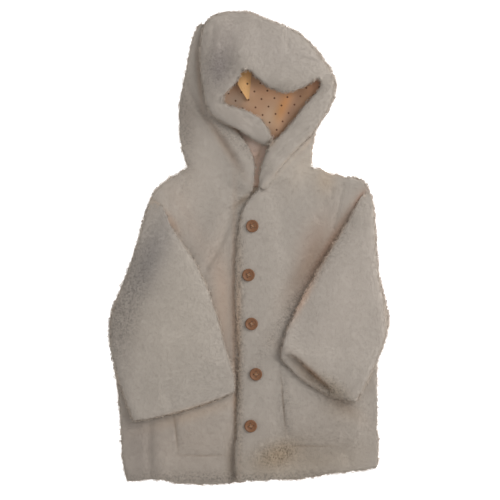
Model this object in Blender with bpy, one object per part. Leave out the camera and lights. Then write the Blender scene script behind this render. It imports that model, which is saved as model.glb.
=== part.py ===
"""A toddler's hooded sherpa-fleece jacket, laid flat on its back.

The sleeves are folded over the fronts, and the empty crown of the hood has fallen over the face
opening. Left and right are those of the picture seen from above, not the wearer's.

All sizes are millimetres until the meshes are made. x runs to the right from the button line, y runs
up the jacket from the hem, and z is the height above the surface that the jacket lies on. The pieces
are laid one by one from that surface up, so each one rests on the real height of what lies under it.
"""
import math
from collections import namedtuple

import bmesh
import bpy
import numpy as np
from mathutils import Matrix, Vector
from mathutils.bvhtree import BVHTree

MM = 0.001                 # one millimetre in metres
SEAM_GAP = 0.3             # between pieces that are sewn together or lie on each other
FLEECE = 6.0               # wall of sherpa cloth with its pile
POCKET_CLOTH = 3.5         # a patch pocket's wall, pulled flat by its seams
LINING = 1.5               # cotton lining of the hood
FACING = 2.6               # the facing inside the neck, whose pile is pressed down
BRIM = 8.0                 # the crown and the brim: fleece with the lining turned in
EDGE = 4.5                 # how far in from its edge a wall rounds over
FIRST_ROW = 0.25           # where the first row inside the rim lies, as a share of the edge
WIDEST_EDGE = 0.3          # most of a piece's width that one rounded edge may take
CELL = 26.0                # widest cell of a wall's mesh
BACK_CELL = 32.0           # of the flat pieces underneath
HOOD_CELL = 16.0           # of the crown and the brim, which curve the most
LINING_CELL = 15.0         # of the lining, which has narrow folds
DRAPE_SLOPE = 0.8          # steepest slope at which cloth comes down from an edge under it

SLEEVE_HEIGHT = 15.5       # a flattened sleeve, from its lower face to its upper one
SLEEVE_START = 5.0         # its height at the shoulder, where it is pressed flat
SLEEVE_SWELL = 0.3         # share of its length over which it reaches its full height
SLEEVE_EDGE = 11.0         # how far in from its side a sleeve rounds over
CUFF_SETBACK = 21.0        # how far the upper wall of the open cuff ends short of the lower one
CUFF_MOUTH = 0.26          # share of the cuff's width at which its mouth gapes the most
CUFF_FOLLOW = (1.0, 0.96, 0.82)   # how far the last rows of the upper wall go along
CAP_HEIGHT = 12.3          # a sleeve cap, folded flat: as high as the back and a front together

BUTTON_DIAMETER = 17.0
BUTTON_THICKNESS = 3.2
BUTTON_RIM = 2.2           # width of the raised rim
BUTTON_DISH = 0.8          # depth of the face inside the rim
BUTTON_HOLE = 1.9          # diameter of each of the four thread holes
HOLE_SPACING = 4.2         # between neighbouring thread holes
BUTTON_SIDES = 20
HOLE_SIDES = 6

SAMPLES = (0.02, 0.26, 0.5, 0.74, 0.98)   # where a cell feels for what lies under it

Section = namedtuple("Section", "x0 y0 x1 y1 bow lift0 lift1", defaults=(0.0, 0.0, 0.0))
Fold = namedtuple("Fold", "x0 y0 x1 y1 spread rise")
Finish = namedtuple("Finish", "name colour roughness")

# Each section is a line across a piece, from its left or inner edge to the other edge. The bow is
# how far its middle lies to the left of the straight line, facing along it, so a negative bow sags
# towards the hem. The lifts raise the two edges above what they lie on, and the first lift holds on
# for longer, which makes a puffed wall.

BODY_BACK = [              # neck to hem
    Section(-84, 427, 86, 427),
    Section(-99, 423, 110, 425),
    Section(-112, 411, 131.5, 417),
    Section(-109, 381, 124, 381),
    Section(-104, 346, 115, 346),
    Section(-103, 321, 111, 321),
    Section(-123, 297, 131, 297),
    Section(-160, 279, 168, 279),
    Section(-176, 221, 172, 221),
    Section(-182, 161, 173, 167),
    Section(-176, 111, 174, 111),
    Section(-174, 59, 174, 65),
    Section(-172, 30, 176, 39),
    Section(-166, 6, 173, 22, -6),
]
FRONT_LEFT = [             # from the neckline to the hem, side seam to the edge under the placket
    Section(-84, 427.5, 5, 388, -5),
    Section(-99, 424.5, 11, 377, -3),
    Section(-113, 412.5, 15, 363),
    Section(-109, 381, 18, 343),
    Section(-104, 348, 18, 321),
    Section(-103, 321, 18, 300),
    Section(-123, 297, 18, 282),
    Section(-161, 279, 18, 262),
    Section(-177, 221, 18, 215),
    Section(-184, 161, 18, 157),
    Section(-178, 111, 18, 108),
    Section(-175, 59, 18, 57),
    Section(-174, 26, 18, 24, -1),
    Section(-167, 4, 18, 3, -4),
]
FRONT_RIGHT = [            # placket edge to side seam, lying over the left front
    Section(9, 396, 86, 427.5, -4),
    Section(0, 387, 111, 426, -2),
    Section(-8, 378, 132.5, 418),
    Section(-13, 363, 124, 381),
    Section(-16, 343, 115, 346),
    Section(-18, 321, 111, 321),
    Section(-20, 300, 131, 297),
    Section(-20, 275, 169, 279),
    Section(-19, 221, 173, 221),
    Section(-15, 167, 174, 167),
    Section(-16, 117, 175, 111),
    Section(-19, 59, 175, 68),
    Section(-20, 26, 178, 36, -3),
    Section(-18, 3, 174, 20, -5),
]
POCKET_LEFT = [            # mouth to bottom seam
    Section(-104, 162, -22, 167),
    Section(-101, 120, -21, 123),
    Section(-99, 80, -22, 81),
    Section(-98, 52, -24, 52),
    Section(-89, 39, -29, 39),
]
POCKET_RIGHT = [
    Section(43, 159, 151, 154),
    Section(43, 127, 153, 124),
    Section(46, 93, 154, 93),
    Section(50, 66, 152, 65),
    Section(60, 51, 143, 51),
]
CAP_LEFT = [               # the sleeve's cap, from the shoulder to the underarm: fold to armhole
    Section(-133, 389, -114.7, 411),
    Section(-141, 364, -110.3, 381),
    Section(-148, 340, -105.6, 346),
    Section(-154, 318, -106, 322),
    Section(-159, 300, -129, 300),
    Section(-164, 286, -152, 288),
]
CAP_RIGHT = [              # armhole to fold
    Section(134, 416.5, 156, 410),
    Section(125.4, 381, 168, 387),
    Section(116.6, 346, 171, 348),
    Section(114.5, 322, 172, 319),
    Section(137, 300, 173, 300),
    Section(160, 288, 175, 286),
]
SLEEVE_LEFT = [            # from the fold at the shoulder to the cuff, outer edge to inner edge
    Section(-133, 389, -116, 377),
    Section(-138, 374, -110, 357),
    Section(-145, 354, -100, 338),
    Section(-153, 325, -84, 319),
    Section(-161, 300, -68, 294),
    Section(-171, 271, -57, 269),
    Section(-184, 242, -47, 242),
    Section(-191, 219, -40, 219),
    Section(-190, 192, -33, 192),
    Section(-184, 162, -26, 167),
    Section(-174, 128, -20, 147),
    Section(-163, 99, -18, 132),
    Section(-158, 84, -18, 125, -5),
]
SLEEVE_RIGHT = [           # inner edge to outer edge
    Section(154, 394, 166, 394),
    Section(144, 377, 170, 370),
    Section(131, 354, 172, 338),
    Section(115, 327, 174, 302),
    Section(96, 296, 178, 269),
    Section(78, 266, 187, 247),
    Section(61, 232, 191, 219),
    Section(49, 207, 185, 193),
    Section(43, 188, 168, 153),
    Section(40, 171, 145, 109, -12),
]
HOOD_BACK = [              # neck to crown
    Section(-84, 427.5, 86, 427.5),
    Section(-90, 444, 84, 443),
    Section(-93, 464, 87, 464),
    Section(-94, 494, 92, 486),
    Section(-93, 514, 110, 510),
    Section(-90, 537, 117, 532),
    Section(-86, 559, 111, 554),
    Section(-81, 583, 92, 579),
    Section(-75, 608, 71, 605),
    Section(-62, 627, 45, 621),
    Section(-34, 636, 4, 636),
]
HOOD_LINING = [            # neck to crown, wider than the part of it that shows
    Section(1, 401, 20, 402),
    Section(1, 420, 25, 420),
    Section(-4, 446, 32, 446),
    Section(-14, 466, 54, 468),
    Section(-30, 496, 84, 498),
    Section(-48, 514, 103, 520),
    Section(-50, 536, 108, 543),
    Section(-34, 558, 106, 562),
    Section(-16, 573, 94, 571),
]
HOOD_FACING = [            # the fleece inside the neck: under the lower band to the neckline
    Section(-20, 481, 34, 470),
    Section(-12, 466, 33, 458),
    Section(-3, 452, 27, 446),
    Section(3, 438, 23, 434),
    Section(4, 420, 19, 417),
    Section(3, 402, 17, 401),
]
HOOD_SIDE_LEFT = [         # neckline to crown, outer edge to the band along the face
    Section(-84, 428, 3, 389.5, -5),
    Section(-90, 437, 8, 404, -3),
    Section(-94, 454, 10, 424),
    Section(-96, 471, 8, 441),
    Section(-97, 491, -1, 457),
    Section(-96, 512, -12, 473),
    Section(-92, 535, -24, 494),
    Section(-88, 556, -35, 521),
    Section(-83, 580, -45, 552),
    Section(-79, 603, -49, 583),
    Section(-67, 626, -48, 612),
]
HOOD_SIDE_RIGHT = [        # neckline up to where the brim hides it
    Section(10, 397, 86, 428, -4),
    Section(18, 416, 86, 441, -2),
    Section(28, 433, 88, 458),
    Section(43, 451, 90, 475),
    Section(60, 467, 96, 489),
]
HOOD_CROWN = [             # round the face opening, from the lower band up over the crown
    Section(32, 466, 22, 455, 0, 1),
    Section(27, 477, 9, 461, 0, 2),
    Section(18, 493, -8, 473, 0, 3),
    Section(1, 503, -26, 482, 0, 4),
    Section(-15, 509, -45, 492, 0, 4),
    Section(-33, 512, -58, 505, 0, 4),
    Section(-38, 519, -63, 526, 0, 5),
    Section(-28, 529, -66, 552, 0, 7),
    Section(-18, 539, -68, 579, 0, 9),
    Section(-11, 552, -66, 607, 0, 11),
    Section(-5, 559, -56, 631, 0, 12),
    Section(2, 557, -31, 640, 0, 13),
    Section(12, 545, -5, 640, 0, 13),
    Section(28, 533, 20, 630, 0, 13),
    Section(46, 526, 52, 619, 0, 13),
    Section(63, 529, 79, 602, 0, 13),
    Section(80, 539, 100, 577, 0, 11),
    Section(91, 547, 115, 557, 0, 9),
]
HOOD_BRIM_RIGHT = [        # from the crown down the right side of the opening to the neck
    Section(92, 547, 116, 555.5, 0, 9),
    Section(98, 545, 120, 538, 0, 7),
    Section(95, 535, 116, 520, 0, 6),
    Section(82, 520, 105, 501, 0, 5),
    Section(69, 504, 90, 477, 0, 5),
    Section(54, 485, 73, 459, 0, 4),
    Section(40, 470, 57, 443, 0, 3),
    Section(26, 456, 45, 429, 0, 2),
    Section(18, 439, 36, 416, 0, 1),
    Section(13, 418, 30, 402),
    Section(12, 399, 23, 396),
]

# Folds are soft ridges along a straight line, which fade out over their spread on each side.

FRONT_LEFT_FOLDS = [
    Fold(-34, 376, -64, 312, 14, 3.0),
    Fold(-120, 60, -116, 12, 15, 3.0),
    Fold(-60, 30, -58, 6, 15, 2.0),
]
FRONT_RIGHT_FOLDS = [
    Fold(70, 360, 92, 250, 22, 3.5),
    Fold(35, 240, 20, 180, 20, 2.0),
    Fold(30, 36, 34, 8, 15, 2.5),
    Fold(120, 44, 126, 14, 15, 2.5),
]
LINING_FOLDS = [
    Fold(-6, 562, -2, 516, 7, 8.0),
    Fold(54, 530, 36, 478, 9, 6.0),
    Fold(84, 545, 70, 520, 9, 3.0),
]
CROWN_FOLDS = [
    Fold(-44, 620, -54, 570, 9, 2.5),
    Fold(40, 615, 60, 570, 14, 2.0),
]
SIDE_FOLDS = [
    Fold(-70, 544, -27, 478, 8, 3.0),
    Fold(-27, 478, -3, 427, 8, 3.0),
]

BUTTONS = [(4, 348), (-1, 282), (3, 216), (9, 148), (2, 78)]   # centres, top to bottom

SHERPA = Finish("sherpa fleece", (0.50, 0.44, 0.38), 0.95)
DOTTED_LINING = Finish("dotted cotton lining", (0.58, 0.31, 0.11), 0.80)
HORN = Finish("tan button", (0.28, 0.16, 0.08), 0.45)

laid = {}                  # BVH trees of the pieces that are already laid, by name


# ---------------------------------------------------------------- plan of a piece

def smooth_rows(sections, distances):
    """Sections read along a smooth curve, at distances from the first one along their middles."""
    rows = np.array(sections, dtype=float)
    middles = (rows[:, 0:2] + rows[:, 2:4]) / 2
    along = np.concatenate([[0.0], np.cumsum(np.linalg.norm(np.diff(middles, axis=0), axis=1))])
    secants = np.diff(rows, axis=0) / np.diff(along)[:, None]
    before, after = secants[:-1], secants[1:]
    turning = before * after <= 0
    between = 2 * before * after / np.where(turning, 1.0, before + after)
    slopes = np.concatenate([secants[:1], np.where(turning, 0.0, between), secants[-1:]])
    read = []
    for distance in distances:
        k = min(max(np.searchsorted(along, distance) - 1, 0), len(along) - 2)
        span = along[k + 1] - along[k]
        t = (distance - along[k]) / span
        read.append(
            rows[k] * (1 + 2 * t) * (1 - t) ** 2
            + rows[k + 1] * t * t * (3 - 2 * t)
            + slopes[k] * span * t * (1 - t) ** 2
            + slopes[k + 1] * span * t * t * (t - 1)
        )
    return np.array(read)


def middle_length(sections):
    """Length of the line through the middles of the sections."""
    rows = np.array(sections, dtype=float)
    return np.linalg.norm(np.diff((rows[:, 0:2] + rows[:, 2:4]) / 2, axis=0), axis=1).sum()


def stations(length, cells, edge):
    """Distances from 0 to length: close together in the rounded edges, even between them."""
    edge = min(edge, length * WIDEST_EDGE)
    rounding = [0.0, edge * FIRST_ROW]
    even = list(np.linspace(edge, length - edge, cells + 1))
    return np.array(rounding + even + [length - d for d in reversed(rounding)])


def edge_factor(distances, length, edge):
    """0 at both ends of a wall, rising to 1 along a quarter ellipse at the edge's width."""
    edge = min(edge, length * WIDEST_EDGE)
    inward = np.minimum(distances, length - distances)
    return np.sqrt(np.clip(1 - (1 - np.clip(inward / edge, 0, 1)) ** 2, 0, 1))


class Plan:
    """A piece's grid seen from above: where its points lie, how round its edges are, its lifts."""

    def __init__(self, sections, cell, edge, open_end=False, inset=0.0):
        rows = np.array(sections, dtype=float)
        widths = np.linalg.norm(rows[:, 2:4] - rows[:, 0:2], axis=1)
        length = middle_length(sections)
        across = max(2, math.ceil(widths.max() / cell))
        down = max(2, math.ceil(length / cell))
        steps = stations(length, down, edge)
        end_factors = edge_factor(steps, length, edge)
        if open_end:
            end_factors[len(steps) // 2:] = 1.0
        steps = inset + steps * (length - inset) / length
        points, factors, lifts = [], [], []
        for row, end_factor in zip(smooth_rows(sections, steps), end_factors):
            width = np.linalg.norm(row[2:4] - row[0:2])
            side = min(inset, width * WIDEST_EDGE)
            places = stations(width - 2 * side, across, edge)
            share = ((side + places) / width)[:, None]
            left = np.array([row[1] - row[3], row[2] - row[0]]) / width
            bow = row[4] * 4 * share * (1 - share) * left
            points.append(row[0:2] * (1 - share) + row[2:4] * share + bow)
            factors.append(edge_factor(places, width - 2 * side, edge) * end_factor)
            lifts.append(row[5] + (row[6] - row[5]) * share[:, 0] ** 2)
        self.points = np.array(points)
        self.factor = np.array(factors)
        self.lift = np.array(lifts)

    def add_folds(self, folds):
        """Raises the plan along each fold's line."""
        for fold in folds:
            start = np.array([fold.x0, fold.y0], dtype=float)
            run = np.array([fold.x1, fold.y1], dtype=float) - start
            share = np.clip((self.points - start) @ run / (run @ run), 0, 1)
            away = np.linalg.norm(self.points - start - share[..., None] * run, axis=2)
            self.lift += fold.rise * np.exp(-((away / fold.spread) ** 2))


# ---------------------------------------------------------------- what a piece rests on

def height_at(point, names):
    """Height of the highest of the named pieces at a point, or 0 for the bare surface."""
    origin = Vector((point[0], point[1], 1000.0))
    hits = [laid[name].ray_cast(origin, Vector((0, 0, -1)))[0] for name in names]
    return max([hit.z for hit in hits if hit] + [0.0])


def resting_heights(plan, names):
    """Height under each point of the plan, no lower than anything under the cells around it, and
    sloping down gently from edges as cloth does."""
    rows, columns = plan.factor.shape
    if not names:
        return np.zeros((rows, columns))
    samples, heights = [], np.zeros((rows, columns))
    for i in range(rows - 1):
        for j in range(columns - 1):
            corners = plan.points[i:i + 2, j:j + 2]
            for a in SAMPLES:
                for b in SAMPLES:
                    side0 = corners[0, 0] * (1 - b) + corners[0, 1] * b
                    side1 = corners[1, 0] * (1 - b) + corners[1, 1] * b
                    spot = side0 * (1 - a) + side1 * a
                    height = height_at(spot, names)
                    samples.append((*spot, height))
                    cell = heights[i:i + 2, j:j + 2]
                    np.maximum(cell, height, out=cell)
    samples = np.array(samples)
    for i in range(rows):
        away = np.linalg.norm(plan.points[i][:, None] - samples[None, :, 0:2], axis=2)
        draped = (samples[None, :, 2] - DRAPE_SLOPE * away).max(axis=1)
        heights[i] = np.maximum(heights[i], draped)
    return heights


# ---------------------------------------------------------------- solids

def skin(bm, plan_low, low, plan_high, high, open_end=False):
    """Faces over and under a piece, which share the points of its rim. An open end keeps its two
    rows apart, and they come back as one loop."""
    rows, columns = low.shape
    under = [[bm.verts.new((*plan_low[i, j], low[i, j])) for j in range(columns)] for i in range(rows)]
    over = []
    for i in range(rows):
        line = []
        for j in range(columns):
            shut = i == 0 or (i == rows - 1 and not open_end) or j in (0, columns - 1)
            line.append(under[i][j] if shut else bm.verts.new((*plan_high[i, j], high[i, j])))
        over.append(line)
    for side in (under, over):
        for i in range(rows - 1):
            for j in range(columns - 1):
                bm.faces.new((side[i][j], side[i][j + 1], side[i + 1][j + 1], side[i + 1][j]))
    return under[-1] + over[-1][-2:0:-1]


def finish_piece(name, bm, finish):
    """Turns a mesh in millimetres into a named object in metres, and keeps it to lay others on."""
    bmesh.ops.recalc_face_normals(bm, faces=bm.faces)
    if bm.calc_volume(signed=True) < 0:
        bmesh.ops.reverse_faces(bm, faces=bm.faces)
    bmesh.ops.triangulate(bm, faces=bm.faces)
    laid[name] = BVHTree.FromBMesh(bm)
    bmesh.ops.scale(bm, vec=(MM, MM, MM), verts=bm.verts)
    mesh = bpy.data.meshes.new(name)
    bm.to_mesh(mesh)
    bm.free()
    mesh.shade_smooth()
    mesh.materials.append(material(finish))
    piece = bpy.data.objects.new(name, mesh)
    bpy.context.scene.collection.objects.link(piece)
    return piece


def material(finish):
    """The Principled material of a finish, made once."""
    if finish.name in bpy.data.materials:
        return bpy.data.materials[finish.name]
    made = bpy.data.materials.new(finish.name)
    made.use_nodes = True
    shader = made.node_tree.nodes["Principled BSDF"]
    shader.inputs["Base Color"].default_value = (*finish.colour, 1)
    shader.inputs["Roughness"].default_value = finish.roughness
    shader.inputs["Metallic"].default_value = 0.0
    made.diffuse_color = (*finish.colour, 1)
    return made


def lay_panel(name, sections, on=(), wall=FLEECE, finish=SHERPA, folds=(), edge=EDGE, cell=CELL):
    """A single wall of cloth laid on the named pieces, or on the bare surface."""
    plan = Plan(sections, cell, edge)
    plan.add_folds(folds)
    base = resting_heights(plan, on) + plan.lift + (SEAM_GAP if on else 0.0)
    rounding = (1 - plan.factor) * wall / 2
    bm = bmesh.new()
    skin(bm, plan.points, base + rounding, plan.points, base + wall - rounding)
    return finish_piece(name, bm, finish)


def lay_sleeve(name, sections, on, setback=0.0):
    """A flattened tube laid on the named pieces: closed at its fold, open at its cuff, where the
    upper wall ends short of the lower one by the setback."""
    outer = Plan(sections, CELL, SLEEVE_EDGE, open_end=True)
    inner = Plan(sections, CELL, SLEEVE_EDGE, open_end=True, inset=FLEECE)
    swell = np.clip(np.linspace(0, 1 / SLEEVE_SWELL, len(outer.factor)), 0, 1)[:, None]
    half = (SLEEVE_START + (SLEEVE_HEIGHT - SLEEVE_START) * swell) / 2
    half_clear = half * (1 - 2 * FLEECE / SLEEVE_HEIGHT)
    middle = resting_heights(outer, on) + SEAM_GAP + half
    bm = bmesh.new()
    outer_end = skin(
        bm,
        outer.points, middle - outer.factor * half,
        drawn_back(outer.points, setback), middle + outer.factor * half,
        open_end=True,
    )
    inner_end = skin(
        bm,
        inner.points, middle - inner.factor * half_clear,
        drawn_back(inner.points, setback), middle + inner.factor * half_clear,
        open_end=True,
    )
    count = len(outer_end)
    for k in range(count):
        after = (k + 1) % count
        bm.faces.new((outer_end[k], outer_end[after], inner_end[after], inner_end[k]))
    return finish_piece(name, bm, SHERPA)


def drawn_back(points, setback):
    """Plan points of an upper wall whose open end is drawn back, so that the cuff gapes."""
    moved = points.copy()
    rows, columns = points.shape[:2]
    share = np.linspace(0, 1, columns)
    rise = np.sin(math.pi / 2 * share / CUFF_MOUTH) ** 2
    fall = (1 - share) / (1 - CUFF_MOUTH)
    gape = np.where(share < CUFF_MOUTH, rise, fall)
    for k, part in enumerate(CUFF_FOLLOW, start=1):
        back = points[rows - 5] - points[rows - 1]
        back /= np.linalg.norm(back, axis=1)[:, None]
        moved[rows - k] += back * (setback * part * gape)[:, None]
    return moved


def ring(bm, radius, height, sides):
    """A level circle of points."""
    turns = [2 * math.pi * k / sides for k in range(sides)]
    return [bm.verts.new((radius * math.cos(a), radius * math.sin(a), height)) for a in turns]


def sew_button(name, centre, on):
    """A round button with a raised rim and four thread holes, lying on the named pieces."""
    radius = BUTTON_DIAMETER / 2
    profile = [            # radius, height
        (radius - 1.2, 0.0),
        (radius, BUTTON_THICKNESS * 0.45),
        (radius - 0.5, BUTTON_THICKNESS * 0.9),
        (radius - BUTTON_RIM / 2, BUTTON_THICKNESS),
        (radius - BUTTON_RIM, BUTTON_THICKNESS - BUTTON_DISH),
    ]
    bm = bmesh.new()
    rings = [ring(bm, r, h, BUTTON_SIDES) for r, h in profile]
    for lower, upper in zip(rings, rings[1:]):
        for k in range(BUTTON_SIDES):
            after = (k + 1) % BUTTON_SIDES
            bm.faces.new((lower[k], lower[after], upper[after], upper[k]))
    bm.faces.new(reversed(rings[0]))
    bm.faces.new(rings[-1])
    turns = [k * math.pi / 4 for k in range(8)]
    spots = [(centre[0] + radius * math.cos(a), centre[1] + radius * math.sin(a)) for a in turns]
    seat = max(height_at(spot, on) for spot in spots + [centre]) + SEAM_GAP
    bmesh.ops.translate(bm, vec=(*centre, seat), verts=bm.verts)
    button = finish_piece(name, bm, HORN)
    for k in range(4):
        angle = math.pi / 4 + k * math.pi / 2
        reach = HOLE_SPACING / math.sqrt(2)
        drill_hole(button, centre[0] + reach * math.cos(angle), centre[1] + reach * math.sin(angle), seat)
    return button


def drill_hole(button, x, y, seat):
    """Cuts one thread hole through a button with a hidden cutter."""
    bm = bmesh.new()
    low = ring(bm, BUTTON_HOLE / 2, -1.0, HOLE_SIDES)
    high = ring(bm, BUTTON_HOLE / 2, BUTTON_THICKNESS + 1.0, HOLE_SIDES)
    for k in range(HOLE_SIDES):
        after = (k + 1) % HOLE_SIDES
        bm.faces.new((low[k], low[after], high[after], high[k]))
    bm.faces.new(reversed(low))
    bm.faces.new(high)
    bmesh.ops.translate(bm, vec=(x, y, seat), verts=bm.verts)
    bmesh.ops.scale(bm, vec=(MM, MM, MM), verts=bm.verts)
    mesh = bpy.data.meshes.new("hole")
    bm.to_mesh(mesh)
    bm.free()
    cutter = bpy.data.objects.new("hole", mesh)
    cutter.hide_render = True
    cutter.display_type = "WIRE"
    bpy.context.scene.collection.objects.link(cutter)
    cut = button.modifiers.new("thread hole", "BOOLEAN")
    cut.operation = "DIFFERENCE"
    cut.object = cutter


# ---------------------------------------------------------------- the jacket

def lay_body():
    """Back, fronts and pockets."""
    lay_panel("back", BODY_BACK, cell=BACK_CELL)
    lay_panel("hood_back", HOOD_BACK, cell=BACK_CELL)
    lay_panel("sleeve_cap_left", CAP_LEFT, wall=CAP_HEIGHT)
    lay_panel("sleeve_cap_right", CAP_RIGHT, wall=CAP_HEIGHT)
    lay_panel("front_left", FRONT_LEFT, on=["back"], folds=FRONT_LEFT_FOLDS)
    lay_panel("front_right", FRONT_RIGHT, on=["back", "front_left"], folds=FRONT_RIGHT_FOLDS)
    lay_panel("pocket_left", POCKET_LEFT, on=["front_left"], wall=POCKET_CLOTH)
    lay_panel("pocket_right", POCKET_RIGHT, on=["front_right"], wall=POCKET_CLOTH)


def lay_hood():
    """Lining, facing, sides, crown and brim, over the hood's back."""
    under = ["back", "hood_back"]
    lay_panel("hood_lining", HOOD_LINING, on=under, wall=LINING, finish=DOTTED_LINING,
              folds=LINING_FOLDS, edge=LINING, cell=LINING_CELL)
    under = under + ["hood_lining"]
    lay_panel("hood_facing", HOOD_FACING, on=under, wall=FACING)
    under = under + ["hood_facing"]
    lay_panel("hood_side_left", HOOD_SIDE_LEFT, on=under, folds=SIDE_FOLDS)
    lay_panel("hood_side_right", HOOD_SIDE_RIGHT, on=under)
    under = under + ["hood_side_left", "hood_side_right"]
    lay_panel("hood_brim_right", HOOD_BRIM_RIGHT, on=under + ["front_right"], wall=BRIM, cell=HOOD_CELL)
    lay_panel("hood_crown", HOOD_CROWN, on=under, wall=BRIM, folds=CROWN_FOLDS, cell=HOOD_CELL)


def lay_sleeves():
    """Both sleeves, folded over the fronts."""
    lay_sleeve("sleeve_left", SLEEVE_LEFT, on=["back", "sleeve_cap_left", "front_left", "pocket_left"])
    lay_sleeve("sleeve_right", SLEEVE_RIGHT,
               on=["back", "sleeve_cap_right", "front_right", "pocket_right"], setback=CUFF_SETBACK)


def set_on_origin():
    """Moves every piece so that the jacket's middle is over the origin."""
    pieces = [ob for ob in bpy.context.scene.objects if ob.type == "MESH"]
    shown = [ob for ob in pieces if not ob.hide_render]
    corners = np.array([vertex.co for ob in shown for vertex in ob.data.vertices])
    shift = -(corners.min(axis=0) + corners.max(axis=0)) / 2
    for ob in pieces:
        ob.data.transform(Matrix.Translation((shift[0], shift[1], 0.0)))


def build_jacket():
    for ob in list(bpy.data.objects):
        bpy.data.objects.remove(ob, do_unlink=True)
    lay_body()
    lay_hood()
    lay_sleeves()
    for number, centre in enumerate(BUTTONS, start=1):
        sew_button(f"button_{number}", centre, on=["front_right"])
    set_on_origin()


build_jacket()
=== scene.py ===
"""Cloth, pile, buttons and finishes of a toddler's hooded sherpa jacket that lies flat.

Tables are in millimetres: x to the right from the button line, y up the jacket from the hem. Left
and right are those of the jacket as it is seen from above.
"""
import math
from collections import namedtuple

import bmesh
import bpy
import numpy as np
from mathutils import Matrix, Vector, noise
from mathutils.bvhtree import BVHTree


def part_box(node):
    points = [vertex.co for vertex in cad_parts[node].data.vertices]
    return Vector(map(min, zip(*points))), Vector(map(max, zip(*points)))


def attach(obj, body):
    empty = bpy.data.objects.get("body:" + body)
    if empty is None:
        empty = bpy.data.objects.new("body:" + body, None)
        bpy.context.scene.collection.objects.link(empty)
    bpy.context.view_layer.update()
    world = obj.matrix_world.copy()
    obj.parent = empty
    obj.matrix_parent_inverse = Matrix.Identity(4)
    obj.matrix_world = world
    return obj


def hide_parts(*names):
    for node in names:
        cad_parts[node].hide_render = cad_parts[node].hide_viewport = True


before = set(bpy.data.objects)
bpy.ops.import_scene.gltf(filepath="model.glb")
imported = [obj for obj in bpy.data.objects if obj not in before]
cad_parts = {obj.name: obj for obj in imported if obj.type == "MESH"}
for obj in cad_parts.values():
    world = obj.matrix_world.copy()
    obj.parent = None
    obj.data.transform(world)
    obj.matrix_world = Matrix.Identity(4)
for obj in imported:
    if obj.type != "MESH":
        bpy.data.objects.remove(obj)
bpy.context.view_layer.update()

MM = 0.001
HEM = -320.25                # world height of the hem line in the tables, in millimetres
WELD = 0.00001
CLOTH_GRAIN = 0.0023         # mesh size of the cloth that is seen
HIDDEN_GRAIN = 0.004         # mesh size of the two pieces underneath
THIN_GRAIN = 0.0011          # mesh size of the thin facing inside the neck
LUMP_SIZE = 26.0             # of the cloth's soft unevenness
LUMP_HEIGHT = 0.6
CLUMP_SIZE = 4.2             # of the clumps that the pile forms
CLUMP_HEIGHT = (0.08, 1.6)   # where the pile is smooth, and where it is curly
MAP_STEP = 1.5               # cell of a height map, in millimetres
LOWEST = 0.1                 # how near the floor anything comes, in millimetres
SEAM_REACH = 6.0             # how far the upper side is drawn level across a sewn seam

Crease = namedtuple("Crease", "path width rise")
Patch = namedtuple("Patch", "x y long short turn tint strength", defaults=[0.9])
Curls = namedtuple("Curls", "x y long short turn strength")
Bridge = namedtuple("Bridge", "x0 y0 x1 y1 radius z")


def rows_of(kind, rows):
    return [kind(*row) for row in rows]


# Rolls of cloth inside the seams, which carry the cloth from one CAD node to the next.

BRIDGES = {
    "left": [Bridge(-104, 412, -121, 389, 5.0, 6.0)],
    "right": [
        Bridge(116, 413.5, 150, 401, 6.0, 6.5),
        Bridge(128, 406, 120, 376, 4.0, 5.5),
        Bridge(120, 376, 113, 330, 4.0, 5.5),
    ],
    "sleeve_right": [Bridge(114, 126, 138, 116.5, 5.5, 23.5)],
}

# Creases are soft troughs, with a rise below 0, or ridges along a path that fade out at its ends.

LEFT_CREASES = rows_of(Crease, [
    ([(-20, 370), (-32, 342), (-42, 320), (-53, 302), (-63, 285)], 5.5, -3.6),
    ([(-32, 376), (-46, 346), (-62, 316)], 11, 1.6),
    ([(8, 392), (-6, 382), (-15, 366), (-20, 340), (-21, 300), (-21, 200), (-18, 150)], 2, -0.4),
    ([(-18, 130), (-19, 100), (-22, 50), (-22, 4)], 2.4, -0.9),
    ([(-60, 498), (-46, 483), (-30, 467), (-14, 446), (0, 424)], 7, 2.0),
    ([(-28, 167), (-14, 168)], 3, -1.6),
    ([(-135, 86), (-136, 50), (-134, 4)], 6, -2.6),
    ([(-24, 56), (-24, 30), (-23, 2)], 6, -1.6),
    ([(-120, 60), (-118, 30), (-119, 2)], 12, 1.2),
    ([(-104, 92), (-99, 73), (-97, 48)], 2.2, -0.8),
    ([(-88, 38), (-60, 38), (-34, 39)], 2.2, -0.6),
    ([(-84, 545), (-79, 527), (-71, 513), (-62, 502), (-55, 491), (-46, 478),
      (-36, 464), (-28, 451), (-19, 437)], 4.4, -2.6),
])
RIGHT_CREASES = rows_of(Crease, [
    ([(128, 408), (124, 392), (121, 376), (117, 360), (112, 343)], 2.4, -1.2),
    ([(110.5, 404), (111, 382)], 2.5, -1.2),
    ([(88, 364), (99, 352)], 3.5, -1.2),
    ([(96, 392), (104, 372), (104, 350)], 6, -1.0),
    ([(70, 352), (90, 300), (84, 250)], 14, -1.4),
    ([(46, 150), (44.6, 113), (48.6, 80), (55, 61)], 2.0, -0.8),
    ([(60, 51), (85, 51), (104, 50)], 2.0, -0.4),
    ([(58, 60), (90, 60), (125, 58)], 2.2, -0.5),
    ([(106, 112), (124, 104), (140, 88)], 9, -2.2),
    ([(130, 46), (137, 22)], 7, -1.8),
    ([(20, 34), (60, 30), (110, 26)], 10, -0.8),
    ([(12, 396), (28, 398), (48, 414)], 4, -1.2),
])
SLEEVE_LEFT_CREASES = rows_of(Crease, [
    ([(-124, 380), (-138, 340), (-150, 300), (-158, 262)], 16, -2.0),
    ([(-96, 300), (-110, 240), (-112, 180)], 34, 1.4),
])
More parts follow.
